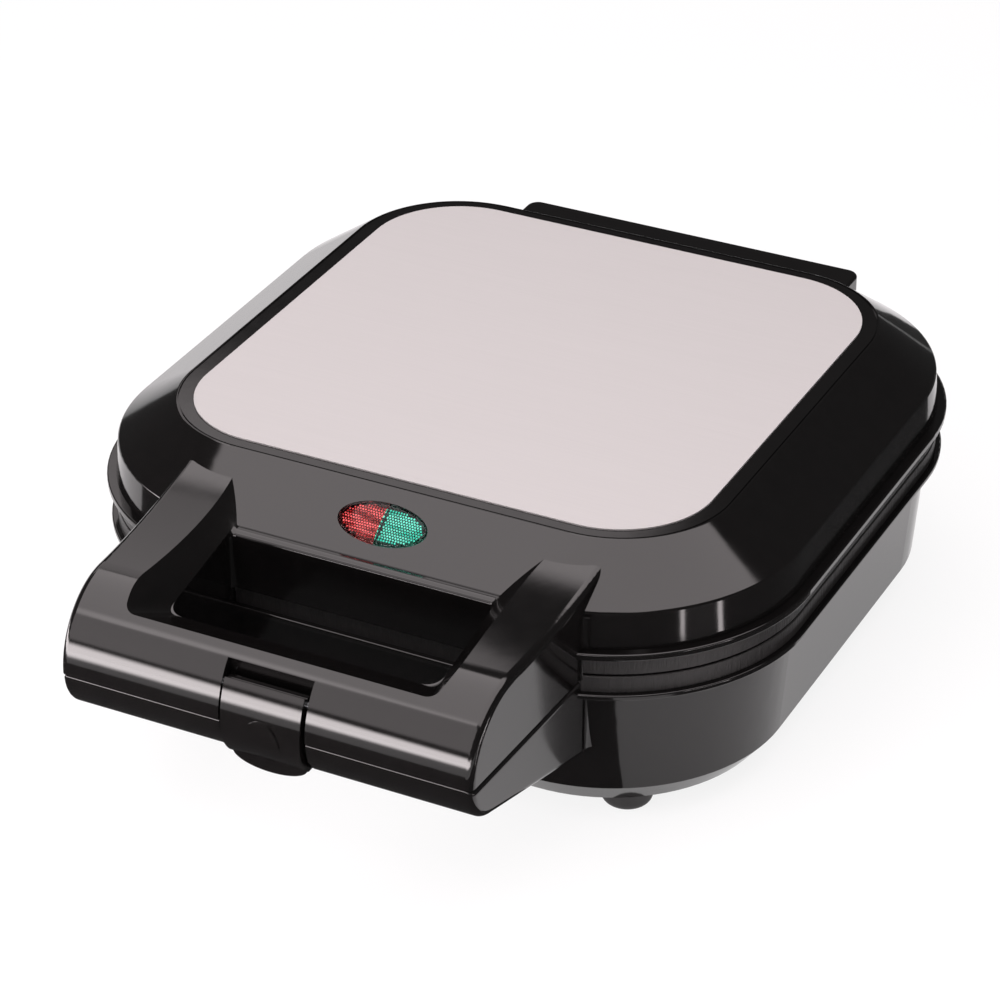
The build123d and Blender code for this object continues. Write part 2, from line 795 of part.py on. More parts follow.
def latch_profile():
    """Side view of the latch: a skin that follows the grip, a pivot barrel and a hook below."""
    centre_y, radius = grip_roll()
    outer = radius + latch_proud
    inner = outer - latch_skin
    inner_y = centre_y - inner
    hook_y = inner_y + hook_reach
    hook_top = catch_z - hook_play
    low_centre = (-lower_reach + lower_radius, lower_grip_z - lower_lip_round)
    low_radius = lower_radius + lower_setback + latch_proud
    top_angle = math.degrees(math.asin((latch_top - upper_grip_z) / outer))
    low_angle = math.degrees(math.asin((low_centre[1] - latch_bottom) / low_radius))
    skin_out = CenterArc((centre_y, upper_grip_z), outer, 180 - top_angle, top_angle)
    tail_out = CenterArc(low_centre, low_radius, 180, low_angle)
    skin_in = CenterArc((centre_y, upper_grip_z), inner, 180, -top_angle)
    rest = [
        Line(skin_out @ 1, tail_out @ 0),
        Polyline(tail_out @ 1, (hook_y, latch_bottom), (hook_y, hook_top), (inner_y, hook_top), skin_in @ 0),
        Line(skin_in @ 1, skin_out @ 0),
    ]
    profile = make_face([skin_out, tail_out, skin_in, *rest])
    pivot = Pos(latch_pivot_y, latch_pivot_z)
    return profile + pivot * Circle(latch_barrel_radius) - pivot * Circle(latch_pin_radius + running_play)


def thumb_tab():
    """Half-round tab that hangs below the latch."""
    below = Pos(0, -latch_width) * Rectangle(2 * latch_width, 2 * latch_width)
    oval = Ellipse(thumb_tab_width / 2, thumb_tab_height) & below
    oval += Pos(0, hook_play) * Rectangle(thumb_tab_width, 2 * hook_play)
    front = Plane.XZ.offset(handle_reach - thumb_tab_setback)
    return extrude(front * Pos(0, latch_bottom) * oval, -thumb_tab_thickness)


def latch_badge():
    """Raised half oval on the front of the latch."""
    above = Pos(0, badge_rise) * Rectangle(2 * badge_half, 2 * badge_rise)
    half_oval = Ellipse(badge_half, badge_rise) & above
    return extrude(Plane.XZ.offset(latch_front) * Pos(0, badge_z) * half_oval, -3 * badge_height)


def make_latch():
    return across(latch_profile(), -latch_width / 2, latch_width / 2) + thumb_tab() + latch_badge()


def make_latch_pin():
    hold = latch_recess_width / 2 + latch_pin_hold
    return along_x(latch_pin_radius, -hold, hold, latch_pivot_y, latch_pivot_z)


# Base

def base_hollow():
    """Space inside the base, open above."""
    return stack(
        (bottom_half - shell_wall, floor_z),
        (wall_low_half - shell_wall, wall_z),
        (wall_top_half - shell_wall, lip_z),
        (wall_top_half - shell_wall, seat_z),
    )


def ear_spans():
    """Ranges along X of the four hinge ears, two beside each lug of the lid."""
    inner = hinge_lug_x - hinge_lug_width / 2 - hinge_side_play
    outer = hinge_lug_x + hinge_lug_width / 2 + hinge_side_play
    spans = []
    for side in (-1, 1):
        spans.append(sorted((side * (inner - hinge_ear_width), side * inner)))
        spans.append(sorted((side * outer, side * (outer + hinge_ear_width))))
    return spans


def hinge_ears():
    """Ears that stand up from the base's rear wall to carry the hinge pins."""
    front = hinge_y - hinge_ear_radius
    wall_in = wall_low_half - shell_wall
    profile = Pos(hinge_y, hinge_z) * Circle(hinge_ear_radius)
    profile += Polygon((front, hinge_z), (front, seat_z), (wall_in, lip_z), (wall_in, ear_foot_z),
                       (hinge_rear, ear_rear_z), (hinge_rear, hinge_z), align=None)
    profile -= Pos(hinge_y, hinge_z) * Circle(hinge_pin_radius + thread_play)
    return [across(profile, *span) for span in ear_spans()]


def make_hinge_pins():
    """One pin on each side, through an ear, a lug and an ear."""
    inner = hinge_lug_x - hinge_lug_width / 2 - hinge_side_play - hinge_ear_width
    outer = hinge_lug_x + hinge_lug_width / 2 + hinge_side_play + hinge_ear_width
    spans = [sorted((side * inner, side * outer)) for side in (-1, 1)]
    return [along_x(hinge_pin_radius, *span, hinge_y, hinge_z) for span in spans]


def foot_spots():
    return GridLocations(2 * foot_x, 2 * foot_y, 2, 2)


def gland_face():
    """Place of the gland's flange, on an upright pad that stands out of the leaning rear wall."""
    lean = wall_draft / wall_height
    return wall_low_half + lean * (gland_z + gland_flange_radius - wall_z) + gland_pad_rise


def make_lower_shell():
    shell = base_form() + rounded_rim(rim_form(lip_half, lip_z, seat_z), lip_round) + hinge_ears()
    shell += along_y(gland_flange_radius, bottom_half, gland_face(), 0, gland_z)
    shell -= base_hollow()
    boss_z = lower_shield_z - shield_sheet
    shell += [spot * upright(post_radius, bottom_z, boss_z) for spot in four_posts]
    shell -= [spot * screw_way(bottom_z, boss_z) for spot in four_posts]
    shell -= [spot * upright(spigot_radius + thread_play, bottom_z, floor_z) for spot in foot_spots()]
    shell -= along_y(gland_body_radius + gland_play, bottom_half, gland_face(), 0, gland_z)
    shell += handle_screw_pads(lower_screw_z, lower_screw_half)
    return shell - handle_screw_holes(screw_radius + screw_play, lower_screw_z, lower_screw_half)


def make_feet():
    foot = upright(foot_radius, 0, foot_height)
    foot = fillet(edges_at(foot, 0), foot_round)
    foot += upright(spigot_radius, foot_height, foot_height + spigot_reach)
    return [spot * foot for spot in foot_spots()]


def make_gland():
    """Bush in the rear wall, with the bore that the supply cord enters."""
    face = gland_face()
    tail = face - 2 * shell_wall - gland_tail
    gland = along_y(gland_body_radius, tail, face, 0, gland_z)
    gland += along_y(gland_flange_radius, face, face + gland_flange, 0, gland_z)
    return gland - along_y(gland_bore_radius, tail, face + gland_flange, 0, gland_z)


def make_thermostat():
    """Disc thermostat, its flange flat on the back of the lower plate."""
    flange_low = lower_back_z - thermostat_flange
    body = upright(thermostat_radius, lower_back_z - thermostat_height, flange_low)
    return body + upright(thermostat_flange_radius, flange_low, lower_back_z)


def make_thermal_fuse():
    """Cut-out on the back of the upper plate, held by a strap with two feet."""
    axis_z = upper_back_z + fuse_radius + touch_play
    return along_x(fuse_radius, -fuse_length / 2, fuse_length / 2, 0, axis_z)


def make_fuse_strap():
    outer = fuse_radius + fuse_strap + touch_play
    inner = fuse_radius + touch_play
    hoop_z = upper_back_z + inner
    profile = Pos(0, hoop_z) * Circle(outer)
    profile += Pos(0, hoop_z - inner / 2) * Rectangle(2 * outer, inner)
    profile += Pos(0, upper_back_z + fuse_strap / 2) * Rectangle(2 * (outer + fuse_strap_foot), fuse_strap)
    profile -= Pos(0, hoop_z) * Circle(inner)
    profile -= Pos(0, hoop_z - inner / 2) * Rectangle(2 * inner, inner)
    above = Pos(0, upper_back_z + outer * 2) * Rectangle(4 * (outer + fuse_strap_foot), 4 * outer)
    return across(profile & above, -fuse_strap_width / 2, fuse_strap_width / 2)


def make_terminal_block():
    """Three-way terminal block standing on the base's floor."""
    middle = (floor_z + floor_z + block_height) / 2
    body = Pos(0, block_y, middle) * Box(block_length, block_depth, block_height)
    body -= [spot * along_y(block_hole_radius, block_y - block_depth, block_y + block_depth, 0, middle)
             for spot in GridLocations(block_hole_pitch, 1, 3, 1)]
    return body


def all_pieces():
    """Every node's name with the solids it holds."""
    heater_drop = heater_radius + touch_play
    upper_screw_end = upper_shield_z - thread_depth + screw_play
    lower_screw_end = lower_shield_z + thread_depth - screw_play
    return {
        "upper_shell": [make_upper_shell()],
        "top_plate": [make_top_plate()],
        "indicator_lens_red": [make_lens_half(-1)],
        "indicator_lens_green": [make_lens_half(1)],
        "indicator_lamps": make_lamps(),
        "lamp_holder": [make_lamp_holder()],
        "upper_handle": [make_upper_handle()],
        "upper_handle_screws": handle_screws(upper_screw_z, upper_screw_half),
        "upper_cooking_plate": [face_down(cooking_plate(upper_rim_height), upper_land_z)],
        "upper_heating_element": [Pos(0, 0, upper_back_z + heater_drop) * heater()],
        "upper_reflector": [face_down(heat_shield(), upper_shield_z)],
        "upper_plate_screws": [spot * screw(recess_z, upper_screw_end) for spot in four_posts],
        "thermal_fuse": [make_thermal_fuse()],
        "fuse_strap": [make_fuse_strap()],
        "handle_latch": [make_latch()],
        "latch_pin": [make_latch_pin()],
        "lower_shell": [make_lower_shell()],
        "lower_handle": [make_lower_handle()],
        "lower_handle_screws": handle_screws(lower_screw_z, lower_screw_half),
        "lower_cooking_plate": [Pos(0, 0, lower_land_z) * cooking_plate(lower_rim_height)],
        "lower_heating_element": [Pos(0, 0, lower_back_z - heater_drop) * heater()],
        "lower_reflector": [Pos(0, 0, lower_shield_z) * heat_shield(thermostat_radius + thermostat_play)],
        "lower_plate_screws": [spot * screw(bottom_z, lower_screw_end) for spot in four_posts],
        "thermostat": [make_thermostat()],
        "terminal_block": [make_terminal_block()],
        "cord_gland": [make_gland()],
        "hinge_pins": make_hinge_pins(),
        "feet": make_feet(),
    }


def main():
    os.makedirs("parts", exist_ok=True)
    for name, solids in all_pieces().items():
        placed = [Pos(0, body_y, 0) * solid for solid in solids]
        export_step(Compound(children=placed), f"parts/{name}.step")


if __name__ == "__main__":
    main()
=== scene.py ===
import math

import bpy
from mathutils import Matrix, Vector


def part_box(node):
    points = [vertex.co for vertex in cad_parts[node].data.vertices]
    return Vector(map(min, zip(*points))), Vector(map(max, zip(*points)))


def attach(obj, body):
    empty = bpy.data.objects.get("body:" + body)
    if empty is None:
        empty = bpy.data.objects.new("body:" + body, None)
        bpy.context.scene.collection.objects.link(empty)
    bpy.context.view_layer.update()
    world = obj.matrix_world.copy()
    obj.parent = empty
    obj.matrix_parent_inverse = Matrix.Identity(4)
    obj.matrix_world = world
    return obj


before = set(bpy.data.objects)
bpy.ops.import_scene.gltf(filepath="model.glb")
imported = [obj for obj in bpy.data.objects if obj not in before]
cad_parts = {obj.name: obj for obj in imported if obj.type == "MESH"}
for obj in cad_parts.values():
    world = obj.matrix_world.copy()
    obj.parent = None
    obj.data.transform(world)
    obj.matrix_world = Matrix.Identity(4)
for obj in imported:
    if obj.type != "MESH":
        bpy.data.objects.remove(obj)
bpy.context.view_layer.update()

bl_info = {
    "name": "Waffle maker finishes",
    "version": (1, 0, 0),
    "blender": (4, 5, 0),
    "location": "3D View > Sidebar > Waffle maker",
    "description": "Finishes, lamp window and studio for a hinged waffle maker",
    "category": "Object",
}

MM = 0.001

# Nodes that share a finish
MOULDINGS = ("upper_shell", "lower_shell", "upper_handle", "lower_handle", "handle_latch")
COOKING_PLATES = ("upper_cooking_plate", "lower_cooking_plate")
HEATERS = ("upper_heating_element", "lower_heating_element")
SHIELDS = ("upper_reflector", "lower_reflector")
PLATED_STEEL = ("upper_plate_screws", "lower_plate_screws", "upper_handle_screws", "lower_handle_screws",
                "latch_pin", "hinge_pins", "thermal_fuse", "fuse_strap")
DARK_MOULDINGS = ("thermostat", "lamp_holder")
RUBBER_PIECES = ("feet", "cord_gland")

# Rise and run of the lid's slope under the lamp window, in millimetres
SLOPE_RISE = 12.9
SLOPE_RUN = 19.3

# Sockets of the Mix node that take and give colours
MIX_FIRST = 6
MIX_SECOND = 7
MIX_RESULT = 2

# Plain white glow of the floor and the surroundings
WHITE = (1, 1, 1, 1)

# Floor and dark flags of the studio, in metres
FLOOR_HALF = 15.0
DOME_RADIUS = 4.0
DOME_SIDES = 32
DOME_LEVELS = 8
CARD_HEIGHT = 0.0005
CARD_REACH = 2.0
# The front and right cards are painted shadow: dark sheets on the floor where it lies in the object's shade,
# seen only in reflections
# Front card: its left end, its depth before the grip, and its back edge before the plate's middle
FRONT_CARD_LEFT = -1.0
FRONT_CARD_DEPTH = 0.17
FRONT_CARD_BACK = 0.1045
FRONT_CARD_BACK_END = 0.082
# Place where the two cards meet at the front, and the right card's edge beside the base from back to front
CARD_SEAM = 0.178
RIGHT_CARD_EDGE = ((-0.05, CARD_REACH), (0.02, 0.42), (0.150, 0.30), (0.150, -0.120), (0.114, -0.160))

# Lights of the studio, in metres from the floor under the plate's middle
# The panel and the strip are placed from the floor under the grip's front
# A feather is the share of its width over which a light fades at each edge
OVERHEAD_SHIFT = (0.06, -0.18, 1.08)
OVERHEAD_SIZE = (1.72, 1.64)
OVERHEAD_FEATHER = 0.045
BACK_SHIFT = (-1.08, 1.005, 1.08)
BACK_SIZE = (1.04, 1.01)
BACK_FEATHER = 0.04
GRIP_AIM = (0.0, 0.0, 0.06)
PANEL_SHIFT = (-0.60, -1.20, 0.90)
PANEL_SIZE = (1.5, 1.2)
PANEL_FEATHER = 0.12
STRIP_SHIFT = (-0.06, -0.13, 0.062)
STRIP_SIZE = (0.80, 0.052)
STRIP_FEATHER = 0.3
CORNER_SHIFT = (0.235, -0.125, 0.026)
CORNER_AIM = (0.085, -0.10, 0.066)
CORNER_SIZE = (0.077, 0.058)
CORNER_FEATHER = 0.03
CORNER_CARD = ((-0.029, -0.027), (0.029, -0.027), (0.029, 0.010), (-0.029, 0.010))
CORNER_CARD_GAP = 0.002


def linear(code):
    """Turn an sRGB hex colour into linear red, green and blue."""
    channels = [int(code[start:start + 2], 16) / 255 for start in (1, 3, 5)]
    return [c / 12.92 if c <= 0.04045 else ((c + 0.055) / 1.055) ** 2.4 for c in channels]


def rgba(colour):
    """Colour with full cover."""
    return (*colour, 1.0)


def shaded(colour, share):
    """Colour made darker or lighter by a share."""
    return [channel * share for channel in colour]


def paled(colour, share):
    """Colour taken a share of the way to white."""
    return [channel + (1 - channel) * share for channel in colour]


class WaffleColours(bpy.types.PropertyGroup):
    """Colours of the finishes."""
    moulding: bpy.props.FloatVectorProperty(
        name="Mouldings", description="Black of the shells, grip and latch",
        subtype="COLOR", size=3, min=0, max=1, default=linear("#0d0c0c"))
    steel: bpy.props.FloatVectorProperty(
        name="Steel plate", description="Colour of the brushed sheet on the lid",
        subtype="COLOR", size=3, min=0, max=1, default=linear("#d5d3d3"))
    coating: bpy.props.FloatVectorProperty(
        name="Non-stick coat", description="Colour of the cooking plates",
        subtype="COLOR", size=3, min=0, max=1, default=linear("#1c1b1b"))
    red_window: bpy.props.FloatVectorProperty(
        name="Red window", description="Tint of the power lamp's half of the window",
        subtype="COLOR", size=3, min=0, max=1, default=linear("#cf0f18"))
    green_window: bpy.props.FloatVectorProperty(
        name="Green window", description="Tint of the ready lamp's half of the window",
        subtype="COLOR", size=3, min=0, max=1, default=linear("#10c4ae"))
    floor: bpy.props.FloatVectorProperty(
        name="Floor", description="Colour of the studio floor",
        subtype="COLOR", size=3, min=0, max=1, default=linear("#f4f3f5"))


class WaffleSizes(bpy.types.PropertyGroup):
    """Sizes of the details that the finishes and the lamp window show."""
    peel_size: bpy.props.FloatProperty(
        name="Peel size", description="Width of the gentle waves on the polished mouldings",
        unit="LENGTH", default=6 * MM)
    brush_width: bpy.props.FloatProperty(
        name="Brush width",
        description="Width of one brush line on the steel, coarser than real so that it shows",
        unit="LENGTH", default=0.35 * MM)
    brush_length: bpy.props.FloatProperty(
        name="Brush length", description="Length of one brush line on the steel",
        unit="LENGTH", default=40 * MM)
    grain_width: bpy.props.FloatProperty(
        name="Grain width", description="Width of the upright streaks on the cast rims",
        unit="LENGTH", default=0.9 * MM)
    grain_length: bpy.props.FloatProperty(
        name="Grain length", description="Length of the upright streaks on the cast rims",
        unit="LENGTH", default=6 * MM)
    window_width: bpy.props.FloatProperty(
        name="Window width", description="Width of the lamp window up the slope",
        unit="LENGTH", default=13.2 * MM)
    window_dome: bpy.props.FloatProperty(
        name="Window dome", description="Height of the window's dome above the slope",
        unit="LENGTH", default=1.8 * MM)
    window_slope: bpy.props.FloatProperty(
        name="Window slope", description="Slope of the lid where the window sits",
        subtype="ANGLE", default=math.atan2(SLOPE_RISE, SLOPE_RUN))
    dimple_pitch: bpy.props.FloatProperty(
        name="Dimple pitch", description="Distance between the dimples behind the window",
        unit="LENGTH", default=0.8 * MM)
    dimple_radius: bpy.props.FloatProperty(
        name="Dimple radius", description="Radius of one dimple behind the window",
        unit="LENGTH", default=0.31 * MM)
    dimple_depth: bpy.props.FloatProperty(
        name="Dimple depth", description="Depth of the dimpled sheet below the slope",
        unit="LENGTH", default=0.5 * MM)
    dimple_margin: bpy.props.FloatProperty(
        name="Dimple margin", description="Clear border between the dimples and the window's edge",
        unit="LENGTH", default=1.3 * MM)


class WaffleStage(bpy.types.PropertyGroup):
    """Camera and light of the studio."""
    azimuth: bpy.props.FloatProperty(
        name="Azimuth", description="How far the camera stands to the right of the grip",
        subtype="ANGLE", default=math.radians(26.40))
    elevation: bpy.props.FloatProperty(
        name="Elevation", description="How far the camera looks down",
        subtype="ANGLE", default=math.radians(30.72))
    roll: bpy.props.FloatProperty(
        name="Roll", description="Tilt of the camera about its own axis",
        subtype="ANGLE", default=math.radians(0.12))
    distance: bpy.props.FloatProperty(
        name="Distance", description="From the camera to the middle of the steel plate",
        unit="LENGTH", default=1.1147)
    aim_right: bpy.props.FloatProperty(
        name="Aim right", description="Camera's shift to its right of the steel plate's middle",
        unit="LENGTH", default=-10.3 * MM)
    aim_up: bpy.props.FloatProperty(
        name="Aim up", description="Camera's shift above the steel plate's middle",
        unit="LENGTH", default=-43.5 * MM)
    lens: bpy.props.FloatProperty(
        name="Lens", description="Focal length in millimetres on a 36 mm sensor", default=133.58)
    overhead: bpy.props.FloatProperty(
        name="Overhead light", description="Brightness of the large light above", default=2.9)
    back: bpy.props.FloatProperty(
        name="Back light", description="Brightness of the high light behind, to the left", default=1.2)
    panel: bpy.props.FloatProperty(
        name="Front panel", description="Brightness of the tall light before the grip", default=1.8)
    front: bpy.props.FloatProperty(
        name="Front strip", description="Brightness of the low light before the grip", default=14.0)
    side: bpy.props.FloatProperty(
        name="Corner light", description="Brightness of the small framed light by the right front corner",
        default=8.0)
    light: bpy.props.FloatVectorProperty(
        name="Light", description="Tint of the studio lights",
        subtype="COLOR", size=3, min=0, max=1, default=linear("#fff6f7"))
    fill: bpy.props.FloatProperty(
        name="Fill", description="Brightness of the light from all round", default=0.1)


# Helpers

def add_node(tree, kind, options=None, inputs=None):
    """Add a node, set its options, and set or link its inputs."""
    node = tree.nodes.new(kind)
    for name, value in (options or {}).items():
        setattr(node, name, value)
    for name, value in (inputs or {}).items():
        if isinstance(value, bpy.types.NodeSocket):
            tree.links.new(value, node.inputs[name])
        else:
            node.inputs[name].default_value = value
    return node


def new_material(name):
    """Empty node material. Returns it with its tree."""
    material = bpy.data.materials.new(name)
    material.use_nodes = True
    material.node_tree.nodes.clear()
    return material, material.node_tree


def dress(nodes, material):
    """Give the named CAD pieces one material."""
    for name in nodes:
        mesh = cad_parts[name].data
        mesh.materials.clear()
        mesh.materials.append(material)


def streaks(tree, width, length, axis):
    """Pattern of noise drawn out along one axis, about as wide and long as given."""
    scale = [1 / width] * 3
    scale["XYZ".index(axis)] = 1 / length
    place = add_node(tree, "ShaderNodeTexCoord")
    drawn = add_node(tree, "ShaderNodeMapping", inputs={"Vector": place.outputs["Object"], "Scale": scale})
    noise = add_node(tree, "ShaderNodeTexNoise", {"noise_dimensions": "3D"}, {
        "Vector": drawn.outputs["Vector"], "Scale": 1.0, "Detail": 3.0, "Roughness": 0.6})
    return noise.outputs[0]


def specks(tree, size):
    """Pattern of even noise whose lumps are about as large as given."""
    place = add_node(tree, "ShaderNodeTexCoord")
    noise = add_node(tree, "ShaderNodeTexNoise", {"noise_dimensions": "3D"}, {
        "Vector": place.outputs["Object"], "Scale": 1 / size, "Detail": 2.0, "Roughness": 0.5})
    return noise.outputs[0]


def mottled(tree, pattern, dark, light, roughness):
    """Base colour and roughness that follow a pattern, from dark and smooth to light and rough."""
    smooth, rough = roughness
    tint = add_node(tree, "ShaderNodeMix", {"data_type": "RGBA"}, {
        "Factor": pattern, MIX_FIRST: rgba(dark), MIX_SECOND: rgba(light)})
    polish = add_node(tree, "ShaderNodeMapRange", inputs={
        "Value": pattern, "To Min": smooth, "To Max": rough})
    return {"Base Color": tint.outputs[MIX_RESULT], "Roughness": polish.outputs[0]}


def finish_material(tree, inputs, height=None, bump=0.0, depth=0.0):
    """Principled surface, with a bump where a height is given."""
    inputs = dict(inputs)
    if height is not None:
        relief = add_node(tree, "ShaderNodeBump", inputs={
            "Height": height, "Strength": bump, "Distance": depth})
        inputs["Normal"] = relief.outputs["Normal"]
    surface = add_node(tree, "ShaderNodeBsdfPrincipled", inputs=inputs)
    add_node(tree, "ShaderNodeOutputMaterial", inputs={"Surface": surface.outputs["BSDF"]})


# Materials

def polished_abs(colours, sizes):
    # Polished black ABS: a near-black body under a clear, slightly wavy mirror of the lights around it
    material, tree = new_material("polished_black_abs")
    wave = specks(tree, sizes.peel_size)
    look = mottled(tree, wave, shaded(colours.moulding, 0.8), shaded(colours.moulding, 1.2), (0.07, 0.11))
    finish_material(tree, {**look, "IOR": 1.5}, height=wave, bump=0.03, depth=0.2 * MM)
    return material


def brushed_steel(colours, sizes):
    # Brushed stainless sheet: a warm pale grey with faint lines along the brushing and a wide, soft shine
    material, tree = new_material("brushed_stainless_steel")
    lines = streaks(tree, sizes.brush_width, sizes.brush_length, axis="X")
    look = mottled(tree, lines, shaded(colours.steel, 0.94), shaded(colours.steel, 1.04), (0.76, 0.84))
    finish_material(tree, {**look, "Metallic": 1.0}, height=lines, bump=0.05, depth=0.02 * MM)
    return material


def non_stick(colours, sizes):
    # Non-stick coat on a casting: matt charcoal with short upright streaks that catch a dull light
    material, tree = new_material("non_stick_coated_casting")
    grain = streaks(tree, sizes.grain_width, sizes.grain_length, axis="Z")
    look = mottled(tree, grain, shaded(colours.coating, 0.5), shaded(colours.coating, 1.5), (0.36, 0.55))
    finish_material(tree, {**look, "IOR": 1.45}, height=grain, bump=1.0, depth=0.25 * MM)
    return material


def tinted_acrylic(name, colour):
    # Tinted clear acrylic: a hard bright shine over coloured depth
    material, tree = new_material(name)
    wave = specks(tree, size=4 * MM)
    finish_material(tree, {
        "Base Color": rgba(colour),
        "Roughness": 0.03,
        "IOR": 1.25,
        "Transmission Weight": 1.0,
    }, height=wave, bump=0.05, depth=0.05 * MM)
    return material


def dimpled_sheet(name, colour, depth):
    # Dimpled back of the window: little domes in the window's tint, with streaks along the window from deep
    # to pale colour that are painted shade and painted highlight standing in for the glints of its prismatic
    # back
    material, tree = new_material(name)
    # Streaks of painted highlight and painted shade across the dimples
    glint_streaks = streaks(tree, width=2 * MM, length=12 * MM, axis="X")
    strong = add_node(tree, "ShaderNodeMapRange", inputs={"Value": glint_streaks, "From Min": 0.45, "From Max": 0.55})
    tint = add_node(tree, "ShaderNodeMix", {"data_type": "RGBA"}, {
        "Factor": strong.outputs[0], MIX_FIRST: rgba(shaded(colour, 1 - depth)),
        MIX_SECOND: rgba(paled(colour, 0.2))})
    finish_material(tree, {"Base Color": tint.outputs[MIX_RESULT], "Roughness": 0.25})
    return material


def plated_steel():
    # Zinc-plated steel: pale bluish metal with a slightly cloudy shine
    material, tree = new_material("zinc_plated_steel")
    cloud = specks(tree, size=1.2 * MM)
    look = mottled(tree, cloud, linear("#9b9ea2"), linear("#c3c6c9"), (0.22, 0.38))
    finish_material(tree, {**look, "Metallic": 1.0})
    return material


def heater_tube():
    # Sheathed heater: dull brown-grey metal, darker where it has been hot
    material, tree = new_material("oxidised_heater_sheath")
    cloud = specks(tree, size=9 * MM)
    look = mottled(tree, cloud, linear("#4a4541"), linear("#7d7671"), (0.40, 0.60))
    finish_material(tree, {**look, "Metallic": 1.0})
    return material


def mill_aluminium():
    # Mill-finish aluminium sheet: bright soft grey with faint rolling lines
    material, tree = new_material("mill_finish_aluminium")
    lines = streaks(tree, width=0.8 * MM, length=30 * MM, axis="Y")
    look = mottled(tree, lines, linear("#b9babc"), linear("#d4d5d7"), (0.28, 0.42))
    finish_material(tree, {**look, "Metallic": 1.0})
    return material


def phenolic():
    # Phenolic moulding: dead black with a fine dull grain
    material, tree = new_material("black_phenolic")
    grain = specks(tree, size=0.8 * MM)
    look = mottled(tree, grain, linear("#141313"), linear("#232121"), (0.45, 0.60))
    finish_material(tree, look, height=grain, bump=0.15, depth=0.05 * MM)
    return material


def polyamide():
    # Natural polyamide: milky white with a waxy sheen
    material, tree = new_material("natural_polyamide")
    cloud = specks(tree, size=3 * MM)
    finish_material(tree, mottled(tree, cloud, linear("#d8d6cc"), linear("#e8e6de"), (0.35, 0.48)))
    return material


def lamp_glass():
    # Neon lamp: clear glass with a warm tinge
    material, tree = new_material("neon_lamp_glass")
    cloud = specks(tree, size=2 * MM)
    tint = add_node(tree, "ShaderNodeMix", {"data_type": "RGBA"}, {
        "Factor": cloud, MIX_FIRST: rgba(linear("#f0dcc8")), MIX_SECOND: rgba(linear("#fff2e4"))})
    finish_material(tree, {
        "Base Color": tint.outputs[MIX_RESULT],
        "Roughness": 0.05,
        "IOR": 1.5,
        "Transmission Weight": 1.0,
    })
    return material


def soft_rubber():
    # Moulded rubber: soft black that drinks the light, with a fine bloom
    material, tree = new_material("moulded_black_rubber")
    bloom = specks(tree, size=0.6 * MM)
    look = mottled(tree, bloom, linear("#100f10"), linear("#1d1c1d"), (0.38, 0.55))
    finish_material(tree, look, height=bloom, bump=0.2, depth=0.04 * MM)
    return material


# Lamp window

def window_place(sizes):
    """Matrix that sets a flat drawing on the lid's slope, in the middle of the lamp window."""
    low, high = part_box("indicator_lens_red")
    slope = sizes.window_slope
    half = sizes.window_width / 2
    forward = math.hypot(half * math.cos(slope), sizes.window_dome * math.sin(slope))
    rise = math.hypot(half * math.sin(slope), sizes.window_dome * math.cos(slope))
    middle = Vector((high.x, low.y + forward, high.z - rise))
    return Matrix.Translation(middle) @ Matrix.Rotation(slope, 4, "X")


